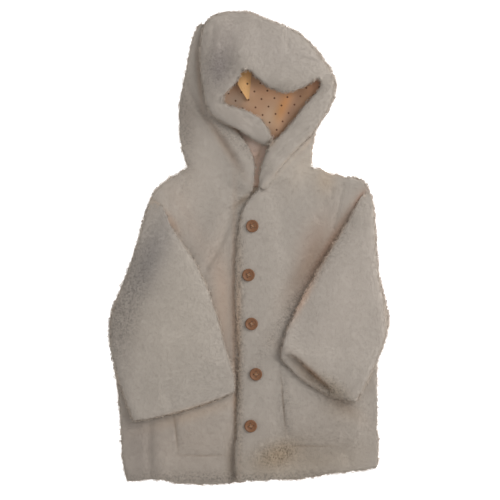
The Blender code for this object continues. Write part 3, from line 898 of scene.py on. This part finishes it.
class Loops(Nodes):
    """The node tree that scatters curled loops of yarn over a shell."""

    def __init__(self):
        self.tree = bpy.data.node_groups.new("sherpa loops", "GeometryNodeTree")
        ends = self.tree.interface
        ends.new_socket("Cloth", in_out="INPUT", socket_type="NodeSocketGeometry")
        self.keys = {}
        for name, kind in (("Seed", "NodeSocketInt"), ("Finish", "NodeSocketMaterial")):
            socket = ends.new_socket(name, in_out="INPUT", socket_type=kind)
            self.keys[name] = socket.identifier
        ends.new_socket("Pile", in_out="OUTPUT", socket_type="NodeSocketGeometry")
        self.build()

    def vectors(self, operation, first, second):
        """The outputs of vector maths."""
        made = self.add("ShaderNodeVectorMath", {"operation": operation}, {0: first, 1: second})
        return made.outputs

    def scaled(self, vector, factor):
        return self.add(
            "ShaderNodeVectorMath", {"operation": "SCALE"}, {0: vector, "Scale": factor}
        ).outputs[0]

    def leant(self, vector, up):
        """A direction leant upwards."""
        return self.vectors("ADD", vector, (0, 0, up))[0]

    def carried(self, name):
        """A number that the cloth's mesh carries."""
        made = self.add("GeometryNodeInputNamedAttribute", {"data_type": "FLOAT"}, {"Name": name})
        return Value(self, made.outputs["Attribute"])

    def by_curl(self, smooth, curly):
        """A value that goes from one on smooth pile to the other on curly pile."""
        return self.carried("curl") * (curly - smooth) + smooth

    def chance(self, low, high, seed=0):
        """A random number for each loop."""
        made = self.add(
            "FunctionNodeRandomValue", {"data_type": "FLOAT"}, {2: low, 3: high, "Seed": seed}
        )
        return Value(self, made.outputs[1])

    def build(self):
        given = self.add("NodeGroupInput").outputs
        density = LOOPS * self.carried("pile") * self.by_curl(1.0, 1.0 + LOOPS_MORE)
        spots = self.add(
            "GeometryNodeDistributePointsOnFaces", {"distribute_method": "RANDOM"},
            {"Mesh": given["Cloth"], "Density": density, "Seed": given["Seed"]},
        )
        away = spots.outputs["Normal"]
        lift = self.scaled(away, LOOP_RADIUS * self.by_curl(*LOOP_LIFT))
        standing = self.add(
            "GeometryNodeSetPosition", {}, {"Geometry": spots.outputs["Points"], "Offset": lift}
        )
        size = self.chance(*LOOP_SIZES, given["Seed"])
        loops = self.add(
            "GeometryNodeInstanceOnPoints", {},
            {
                "Points": standing.outputs["Geometry"],
                "Instance": self.one_loop(),
                "Rotation": self.leaning(away, given["Seed"]),
                "Scale": size * self.by_curl(1.0, 1.0 + LOOPS_LARGER),
            },
        )
        toned = self.add(
            "GeometryNodeStoreNamedAttribute", {"data_type": "FLOAT", "domain": "INSTANCE"},
            {
                "Geometry": loops.outputs["Instances"],
                "Name": "loop_shade",
                "Value": self.chance(*LOOP_SHADES, SHADE_SEED),
            },
        )
        real = self.add("GeometryNodeRealizeInstances", {}, {"Geometry": toned.outputs["Geometry"]})
        shaded = self.soft_normals(real.outputs["Geometry"], away)
        dressed = self.add(
            "GeometryNodeSetMaterial", {}, {"Geometry": shaded, "Material": given["Finish"]}
        )
        self.add("NodeGroupOutput", {}, {"Pile": dressed.outputs["Geometry"]})

    def leaning(self, away, seed):
        """A loop's turn: laid on the cloth, leaning a little any way and turned round at random."""
        laid = self.add("FunctionNodeAlignRotationToVector", {"axis": "Z"}, {"Vector": away})
        lean = self.add(
            "FunctionNodeRandomValue", {"data_type": "FLOAT_VECTOR"},
            {0: (-1, -1, 0), 1: (1, 1, 0), "Seed": seed},
        )
        leaned = self.scaled(lean.outputs[0], self.by_curl(*LOOP_TILT))
        spun = self.add("ShaderNodeCombineXYZ", {}, {"Z": self.chance(0.0, 2 * math.pi)})
        turned = self.vectors("ADD", leaned, spun.outputs[0])[0]
        angles = self.add("FunctionNodeEulerToRotation", {}, {"Euler": turned})
        return self.add(
            "FunctionNodeRotateRotation", {"rotation_space": "LOCAL"},
            {"Rotation": laid.outputs[0], "Rotate By": angles.outputs[0]},
        ).outputs[0]

    def one_loop(self):
        """A flat strand bent round most of a circle."""
        arc = self.add(
            "GeometryNodeCurveArc", {"mode": "RADIUS"},
            {"Resolution": 5, "Radius": LOOP_RADIUS, "Sweep Angle": math.radians(LOOP_SWEEP)},
        )
        cone = math.radians(LOOP_CONE)
        across, raised = LOOP_WIDTH / 2 * math.cos(cone), LOOP_WIDTH / 2 * math.sin(cone)
        strand = self.add(
            "GeometryNodeCurvePrimitiveLine", {},
            {"Start": (-across, -raised, 0), "End": (across, raised, 0)},
        )
        return self.add(
            "GeometryNodeCurveToMesh", {},
            {"Curve": arc.outputs["Curve"], "Profile Curve": strand.outputs["Curve"]},
        ).outputs["Mesh"]

    def soft_normals(self, geometry, away):
        """Turns every strand to face up and out of the cloth and lets it share the cloth's shading."""
        face = self.add("GeometryNodeInputNormal").outputs[0]
        facing = Value(self, self.vectors("DOT_PRODUCT", face, self.leant(away, FACING_UP))["Value"])
        inward = facing.maths("LESS_THAN", facing, 0.0)
        turned = self.add("GeometryNodeFlipFaces", {}, {"Mesh": geometry, "Selection": inward})
        own = self.scaled(face, self.by_curl(*LOOP_RELIEF))
        soft = self.leant(self.vectors("ADD", own, away)[0], LIGHT_THROUGH)
        return self.add(
            "GeometryNodeSetMeshNormal", {"mode": "FREE", "domain": "POINT"},
            {"Mesh": turned.outputs[0], "Custom Normal": soft},
        ).outputs[0]

    def grow(self, name, cloth, finish, seed):
        """The pile of one shell, as a piece of its own."""
        piece = bpy.data.objects.new(name, cloth.data.copy())
        bpy.context.scene.collection.objects.link(piece)
        modifier = piece.modifiers.new("pile", "NODES")
        modifier.node_group = self.tree
        modifier[self.keys["Seed"]] = seed
        modifier[self.keys["Finish"]] = finish
        settle(piece)
        found = places(piece.data)
        found[:, 2] = np.maximum(found[:, 2], LOWEST)
        move_to(piece.data, found)
        return piece


UNDERSIDE = -0.35            # a normal that points further down than this belongs to the underside
SIDEWAYS = 6                 # how many ways out are tried besides straight up
WAY_RISE = 0.8               # how steeply they rise
WAY_CLEAR = 1.5              # how far off the cloth they start
WAY_REACH = 400.0
WAY_LEAN = -0.1              # how far a way may point into the cloth


def find_open_air(pieces, all_pieces):
    """Marks on each shell where its surface sees the open air, which is where pile is grown."""
    tree = tree_of(all_pieces)
    ways = [Vector((0, 0, 1))]
    for k in range(SIDEWAYS):
        turn = 2 * math.pi * k / SIDEWAYS
        ways.append(Vector((math.cos(turn), math.sin(turn), WAY_RISE)).normalized())
    for piece in pieces:
        mesh = piece.data
        found, normals = places(mesh), outward(mesh)
        seen = np.zeros(len(found))
        starts = found + normals * WAY_CLEAR
        for k, (start, normal) in enumerate(zip(starts, normals)):
            if normal[2] < UNDERSIDE:
                continue
            origin = Vector(start)
            for way in ways:
                if way.x * normal[0] + way.y * normal[1] + way.z * normal[2] < WAY_LEAN:
                    continue
                if tree.ray_cast(origin, way, WAY_REACH)[0] is None:
                    seen[k] = 1.0
                    break
        marked(piece, "pile", seen)


# ---------------------------------------------------------------- buttons

BUTTON_SIDES = 48
BUTTON_TURN = 11             # degrees that each button is turned on from the one below
HOLE_SIDES = 16
HOLE_RADIUS = 0.95
HOLE_REACH = 3.0             # from the button's middle to the middle of a hole
THREAD = 0.42                # radius
STITCH_BASE = 0.68           # where the thread lies, as a share of the button's thickness
STITCH_ARCH = 1.2            # how far it stands off the button, in its radius
STITCH_CROSS = 1.6           # how far the upper stitch stands off the lower one, in the same
STITCH_DIVE = 1.3            # how deep it goes into the holes
STITCH_STEPS = 12
STITCH_SIDES = 8


def turned(name, profile, sides, middle, shift=(0, 0, 0)):
    """A closed turned form: its profile and shift in millimetres, its middle in world metres."""
    bm = bmesh.new()
    turns = [2 * math.pi * k / sides for k in range(sides)]
    skin(bm, [
        [bm.verts.new((radius * math.cos(a), radius * math.sin(a), height)) for a in turns]
        for radius, height in profile
    ])
    bmesh.ops.translate(bm, vec=shift, verts=bm.verts)
    bmesh.ops.scale(bm, vec=(MM, MM, MM), verts=bm.verts)
    bmesh.ops.translate(bm, vec=middle, verts=bm.verts)
    return object_of(name, bm)


def turned_button(name, node, turn):
    """A finer button in the place of a CAD one: a rounded rim, a dished face and four holes."""
    low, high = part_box(node)
    radius = (high.x - low.x) / 2 / MM
    thick = (high.z - low.z) / MM
    middle = Vector(((low.x + high.x) / 2, (low.y + high.y) / 2, low.z))
    button = turned(name, [
        (radius - 2.2, 0.0), (radius - 0.9, 0.25), (radius - 0.15, thick * 0.35),
        (radius, thick * 0.55), (radius - 0.25, thick * 0.8), (radius - 0.8, thick * 0.97),
        (radius - 1.3, thick), (radius - 1.9, thick * 0.93), (radius - 2.6, thick * 0.74),
        (radius - 4.2, thick * 0.70), (1.0, thick * 0.66),
    ], BUTTON_SIDES, middle)
    cutters = []
    for k in range(4):
        angle = turn + math.pi / 4 + k * math.pi / 2
        shift = (HOLE_REACH * math.cos(angle), HOLE_REACH * math.sin(angle), 0)
        drill = [(HOLE_RADIUS, -1.0), (HOLE_RADIUS, thick + 1.0)]
        cutter = turned(f"{name}_hole_{k}", drill, HOLE_SIDES, middle, shift)
        cutters.append(cutter)
        cut = button.modifiers.new("hole", "BOOLEAN")
        cut.operation = "DIFFERENCE"
        cut.object = cutter
    settle(button)
    for cutter in cutters:
        bpy.data.objects.remove(cutter)
    button.data.set_sharp_from_angle(angle=math.radians(40))
    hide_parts(node)
    return button


def button_stitches(name, node, turn):
    """Two crossed stitches of thread over the middle of a button."""
    low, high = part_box(node)
    middle = Vector(((low.x + high.x) / 2, (low.y + high.y) / 2, low.z)) / MM
    thick = (high.z - low.z) / MM
    bm = bmesh.new()
    for k, raised in ((0, 0.0), (1, THREAD * STITCH_CROSS)):
        angle = turn + math.pi / 4 + k * math.pi / 2
        way = Vector((math.cos(angle), math.sin(angle), 0))
        side = Vector((-way.y, way.x, 0))
        rings = []
        for step in range(STITCH_STEPS + 1):
            share = step / STITCH_STEPS * 2 - 1
            arch = (THREAD * STITCH_ARCH + raised) * (1 - share ** 6)
            height = thick * STITCH_BASE + arch - STITCH_DIVE * share ** 8
            centre = middle + way * (share * HOLE_REACH) + Vector((0, 0, height))
            ring = []
            for a in range(STITCH_SIDES):
                round_about = 2 * math.pi * a / STITCH_SIDES
                offset = side * math.cos(round_about) + Vector((0, 0, math.sin(round_about)))
                ring.append(bm.verts.new((centre + offset * THREAD) * MM))
            rings.append(ring)
        skin(bm, rings)
    bmesh.ops.recalc_face_normals(bm, faces=bm.faces)
    piece = object_of(name, bm)
    piece.data.shade_smooth()
    return piece


# ---------------------------------------------------------------- the jacket

Shell = namedtuple("Shell", "nodes grain creases patches")
SHELLS = {                   # the CAD nodes that each piece of cloth dresses, and how
    "back": Shell(["back"], HIDDEN_GRAIN, [], BACK_PATCHES),
    "hood_back": Shell(["hood_back"], HIDDEN_GRAIN, [], []),
    "neck": Shell(["hood_facing"], THIN_GRAIN, [], NECK_PATCHES),
    "left": Shell(
        ["front_left", "sleeve_cap_left", "hood_side_left", "pocket_left"],
        CLOTH_GRAIN, LEFT_CREASES, LEFT_PATCHES,
    ),
    "right": Shell(
        ["front_right", "sleeve_cap_right", "hood_side_right", "pocket_right"],
        CLOTH_GRAIN, RIGHT_CREASES, RIGHT_PATCHES,
    ),
    "sleeve_left": Shell(["sleeve_left"], CLOTH_GRAIN, SLEEVE_LEFT_CREASES, SLEEVE_LEFT_PATCHES),
    "sleeve_right": Shell(["sleeve_right"], CLOTH_GRAIN, SLEEVE_RIGHT_CREASES, SLEEVE_RIGHT_PATCHES),
    "hood_top": Shell(["hood_crown", "hood_brim_right"], CLOTH_GRAIN, HOOD_TOP_CREASES, HOOD_PATCHES),
}
TUCK_ROWS = [                # the bright fold of the lining, top to bottom
    (-10, 568, 4, 568), (-11, 558, 3, 558), (-16, 541, 2, 541), (-9, 529, 0.5, 530),
    (-2.5, 519, -0.5, 518),
]


# How much of its height a piece keeps: the lowest share at its start, all of it from the reach on,
# and less by a loss along one edge.

Pressed = namedtuple("Pressed", "start reach lowest edge width loss")
PRESSED = {
    "sleeve_left": Pressed((-126, 386), 105, 0.12, [
        (-112, 382), (-86, 345), (-62, 300), (-44, 255), (-30, 205), (-22, 150), (-40, 140),
        (-80, 122), (-118, 104), (-140, 112),
    ], 24, 0.45),
    "sleeve_right": Pressed((158, 392), 40, 0.12, [
        (146, 384), (128, 352), (104, 306), (84, 270), (70, 236), (60, 200), (58, 176),
    ], 22, 0.35),
    "hood_top": Pressed((17, 395), 48, 0.35, [
        (20, 396), (30, 400), (51, 435), (72, 456), (88, 474),
    ], 14, 0.6),
}


def lay_cloth():
    """All the shells of fleece, folded and pressed onto each other."""
    cloth = {name: shell(name, plan) for name, plan in SHELLS.items()}
    for side in ("left", "right"):
        front, sleeve = cloth[side], f"sleeve_{side}"
        soften_edge(front, SOFT_EDGES[side])
        fold(front, SHELLS[side].creases)
        wave_hem(front)
        press(cloth[sleeve], HeightMap([front]), PRESSED[sleeve])
    top = cloth["hood_top"]
    press(top, HeightMap([cloth["right"], cloth["neck"]]), PRESSED["hood_top"])
    turn_under(top, [cloth[name] for name in ("hood_back", "back", "left", "right", "neck")])
    for name in ("sleeve_left", "sleeve_right", "hood_top"):
        fold(cloth[name], SHELLS[name].creases)
    return cloth


def declare_sheet(piece, with_pieces=()):
    """Works out how wide a piece lies and how long half its surface makes it, and hangs it and the
    pieces with it under the root.
    """
    across = places(piece.data)[:, 0]
    width = float(across.max() - across.min()) * MM
    half_area = sum(face.area for face in piece.data.polygons) / 2
    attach(piece, "root")
    for other in with_pieces:
        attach(other, "root")
    half_area / width


def build_jacket():
    cloth = lay_cloth()
    lining = rounded("lining", ["hood_lining"])
    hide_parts("hood_lining")
    tuck = wedge("lining_tuck", TUCK_ROWS, HeightMap([lining]), TUCK_RISE)
    for piece in cloth.values():
        lump(piece)
    find_open_air(list(cloth.values()), list(cloth.values()) + [lining])
    plain = fleece("fleece")
    loops = Loops()
    for seed, (name, piece) in enumerate(cloth.items(), start=1):
        patches = SHELLS[name].patches
        finish = fleece(f"fleece_{name}", patches) if patches else plain
        piece.data.materials.clear()
        piece.data.materials.append(finish)
        pile = loops.grow(f"pile_{name}", piece, finish, seed)
        declare_sheet(piece, [pile])
    lining.data.materials.append(
        dotted_cotton("peach cotton", (0.50, 0.300, 0.185), (0.55, 0.335, 0.210), LINING_PATCHES)
    )
    declare_sheet(lining)
    tuck.data.materials.append(
        dotted_cotton("ochre cotton", (0.72, 0.42, 0.185), (0.76, 0.455, 0.205), TUCK_PATCHES)
    )
    declare_sheet(tuck)
    horn, yarn = tan_horn(), button_thread()
    for k in range(1, 6):
        turn = math.radians(BUTTON_TURN * k)
        button = turned_button(f"turned_button_{k}", f"button_{k}", turn)
        button.data.materials.append(horn)
        stitches = button_stitches(f"button_stitches_{k}", f"button_{k}", turn)
        stitches.data.materials.append(yarn)
        for piece in (button, stitches):
            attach(piece, "root")


# ---------------------------------------------------------------- light and camera

def light(name, place, size, power):
    lamp = bpy.data.lights.new(name, "AREA")
    lamp.shape = "DISK"
    lamp.size = size
    lamp.energy = power
    stand = bpy.data.objects.new(name, lamp)
    stand.location = place
    stand.rotation_euler = (-Vector(place)).to_track_quat("-Z", "Y").to_euler()
    bpy.context.scene.collection.objects.link(stand)


def studio():
    scene = bpy.context.scene
    scene.view_settings.view_transform = "Standard"
    world = bpy.data.worlds.new("pale room")
    world.use_nodes = True
    background = world.node_tree.nodes["Background"]
    background.inputs["Color"].default_value = (1.0, 1.0, 1.0, 1)
    background.inputs["Strength"].default_value = 0.50
    scene.world = world
    light("window", (1.9, 0.9, 1.55), 1.9, 34)

    bm = bmesh.new()
    bmesh.ops.create_grid(bm, x_segments=1, y_segments=1, size=4.0)
    bmesh.ops.translate(bm, vec=(0, 0, -0.0003), verts=bm.verts)
    floor = object_of("floor", bm)
    paper = Finish("white paper")
    paper.set(
        Base_Color=(0.93, 0.93, 0.93, 1),
        Roughness=0.9,
        Specular_IOR_Level=0.1,
        Emission_Color=(1.0, 0.99, 0.98, 1),
        Emission_Strength=0.85,
    )
    floor.data.materials.append(paper.material)

    camera = bpy.data.cameras.new("camera")
    camera.lens = 160
    camera.sensor_width = 36
    stand = bpy.data.objects.new("camera", camera)
    stand.location = (0.001, -0.004, 3.02)
    scene.collection.objects.link(stand)
    scene.camera = stand


build_jacket()
studio()

bpy.context.view_layer.update()
